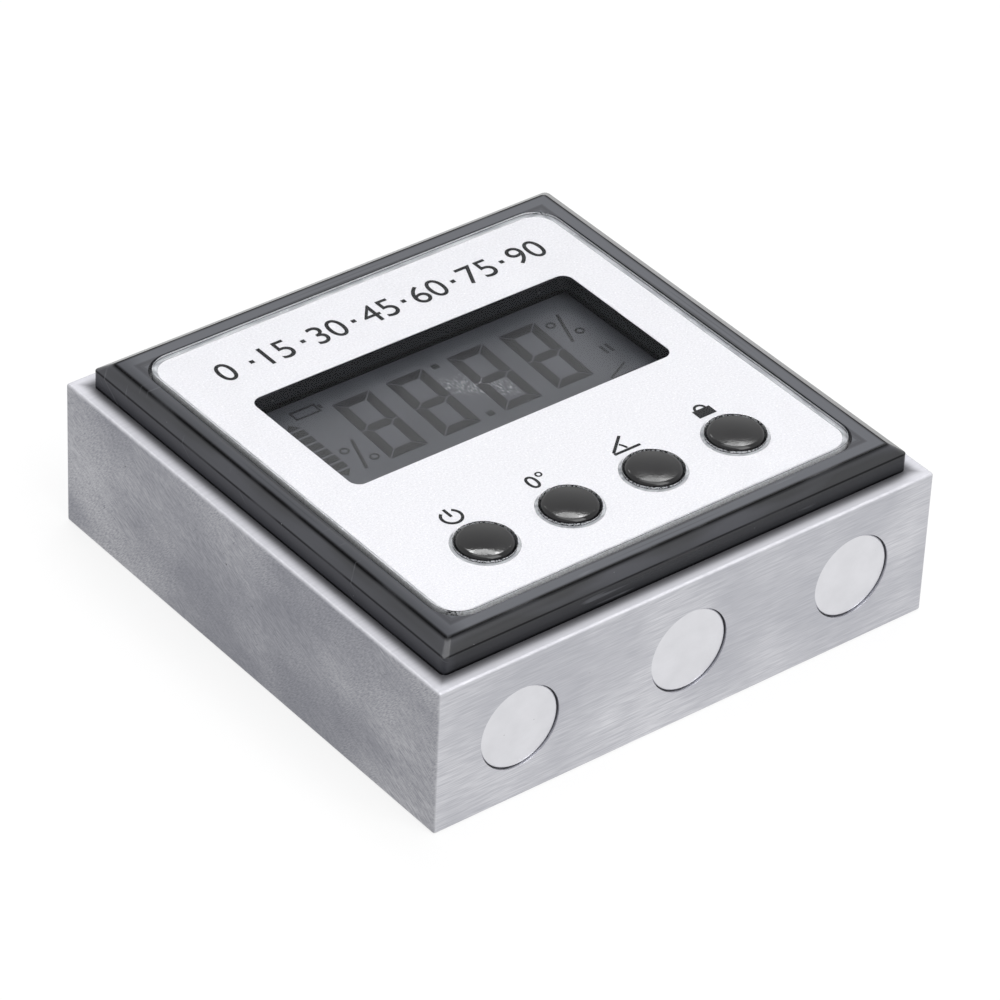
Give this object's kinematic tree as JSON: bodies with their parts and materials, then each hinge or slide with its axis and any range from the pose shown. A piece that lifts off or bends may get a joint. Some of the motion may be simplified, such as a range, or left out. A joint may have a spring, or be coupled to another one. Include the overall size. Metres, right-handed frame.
{
  "type": "digital inclinometer",
  "caption": "Pocket digital inclinometer: square steel frame with magnets in one edge, clear-lensed display, push buttons and a hinged battery door in the back.",
  "frame": {"origin": "centre of the plane of the frame's back edges, which the object lies on; the middle of its outline", "axes": "+Z out of the display, away from the back cover; +X to the reader's right along the row of buttons; +Y towards the top of the display, so the edge with the magnets faces -Y"},
  "size_m": [0.06, 0.06, 0.0201],
  "materials": {
    "frame_steel": "ground and lightly brushed, burnished edges",
    "magnet_nickel": "nickel plated, satin",
    "bezel_plastic": "fine satin moulding, dark grey",
    "lens_clear": "clear acrylic sheet, polished",
    "print_silver": "silver ink screen printed behind the lens",
    "tape_foam": "black foam tape",
    "button_plastic": "fine satin moulding, dark grey",
    "stem_plastic": "natural nylon",
    "switch_plastic": "black nylon",
    "lcd_film": "grey polarising film",
    "lcd_glass": "clear display glass",
    "reflector_foil": "matt silver film",
    "strip_rubber": "silicone rubber with carbon layers",
    "holder_plastic": "black moulding",
    "board_laminate": "green solder mask over glass laminate",
    "resin_black": "black potting resin",
    "chip_black": "black moulded package",
    "crystal_can": "drawn can",
    "chip_ceramic": "fired ceramic chips",
    "screw_zinc": "bright zinc plated",
    "screw_black": "black oxide",
    "cover_plastic": "fine sparked moulding, dark grey",
    "cell_jacket": "printed film sleeve",
    "contact_nickel": "nickel plated spring steel"
  },
  "bodies": {
    "case": {"steel_frame": "frame_steel", "magnet_left": "magnet_nickel", "magnet_middle": "magnet_nickel", "magnet_right": "magnet_nickel", "front_bezel": "bezel_plastic", "face_lens": "lens_clear", "face_print": "print_silver", "lens_tape": "tape_foam", "switch_bodies": "switch_plastic", "switch_snap_discs": "contact_nickel", "lcd_polariser": "lcd_film", "lcd_front_glass": "lcd_glass", "lcd_rear_glass": "lcd_glass", "lcd_reflector": "reflector_foil", "contact_strip_lower": "strip_rubber", "contact_strip_upper": "strip_rubber", "lcd_holder": "holder_plastic", "circuit_board": "board_laminate", "processor_cap": "resin_black", "tilt_sensor": "chip_black", "clock_crystal": "crystal_can", "chip_parts": "chip_ceramic", "board_screws": "screw_zinc", "case_screws": "screw_black", "back_cover": "cover_plastic", "battery_cell_1": "cell_jacket", "battery_cell_2": "cell_jacket", "contact_positive": "contact_nickel", "contact_negative": "contact_nickel", "contact_bridge": "contact_nickel", "contact_spring_1": "contact_nickel", "contact_spring_2": "contact_nickel"},
    "push_power": {"button_power": "button_plastic", "switch_stem_power": "stem_plastic"},
    "push_percent": {"button_percent": "button_plastic", "switch_stem_percent": "stem_plastic"},
    "push_reference": {"button_reference": "button_plastic", "switch_stem_reference": "stem_plastic"},
    "push_hold": {"button_hold": "button_plastic", "switch_stem_hold": "stem_plastic"},
    "door": {"battery_door": "cover_plastic"}
  },
  "joints": [
    {"name": "press_power", "type": "slide", "parent": "case", "child": "push_power", "axis": [0, 0, -1], "range_m": [0, 0.0003], "stiffness_N_per_m": 5000},
    {"name": "press_percent", "type": "slide", "parent": "case", "child": "push_percent", "axis": [0, 0, -1], "range_m": [0, 0.0003], "stiffness_N_per_m": 5000},
    {"name": "press_reference", "type": "slide", "parent": "case", "child": "push_reference", "axis": [0, 0, -1], "range_m": [0, 0.0003], "stiffness_N_per_m": 5000},
    {"name": "press_hold", "type": "slide", "parent": "case", "child": "push_hold", "axis": [0, 0, -1], "range_m": [0, 0.0003], "stiffness_N_per_m": 5000},
    {"name": "door_hinge", "type": "hinge", "parent": "case", "child": "door", "pos_m": [0, 0.0112, 0.001], "axis": [1, 0, 0], "range_deg": [0, 90]}
  ]
}
